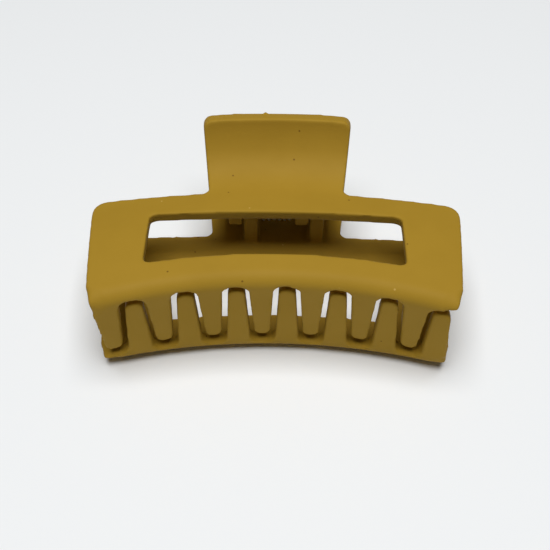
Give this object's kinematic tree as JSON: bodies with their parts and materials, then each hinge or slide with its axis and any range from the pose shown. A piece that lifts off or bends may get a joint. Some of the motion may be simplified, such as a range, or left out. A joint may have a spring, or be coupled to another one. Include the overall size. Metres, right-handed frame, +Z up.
{
  "type": "claw clip",
  "caption": "Claw clip for hair: two curved moulded jaws with interlocking teeth and pinch handles, on a steel pin, closed by a torsion spring.",
  "frame": {"origin": "on the surface the clip lies on, under the middle of its bounding box", "axes": "+X along the clip, -Y towards the teeth, +Y towards the handles, +Z up; the clip lies on its rear jaw"},
  "size_m": [0.0676, 0.0436, 0.0293],
  "materials": {
    "jaw_plastic": "injection moulded, soft-touch matte, ochre",
    "pin_steel": "drawn steel wire",
    "spring_steel": "bright spring wire"
  },
  "bodies": {
    "rear": {"rear_jaw": "jaw_plastic", "hinge_pin": "pin_steel", "torsion_spring": "spring_steel"},
    "front": {"front_jaw": "jaw_plastic"}
  },
  "joints": [
    {"name": "jaw_hinge", "type": "hinge", "parent": "rear", "child": "front", "pos_m": [0, 0.0082, 0.01383], "axis": [-1, 0, 0], "range_deg": [0, 75], "stiffness_Nm_per_rad": 0.06, "springref_deg": -45.84, "deforming": ["torsion_spring"]}
  ]
}
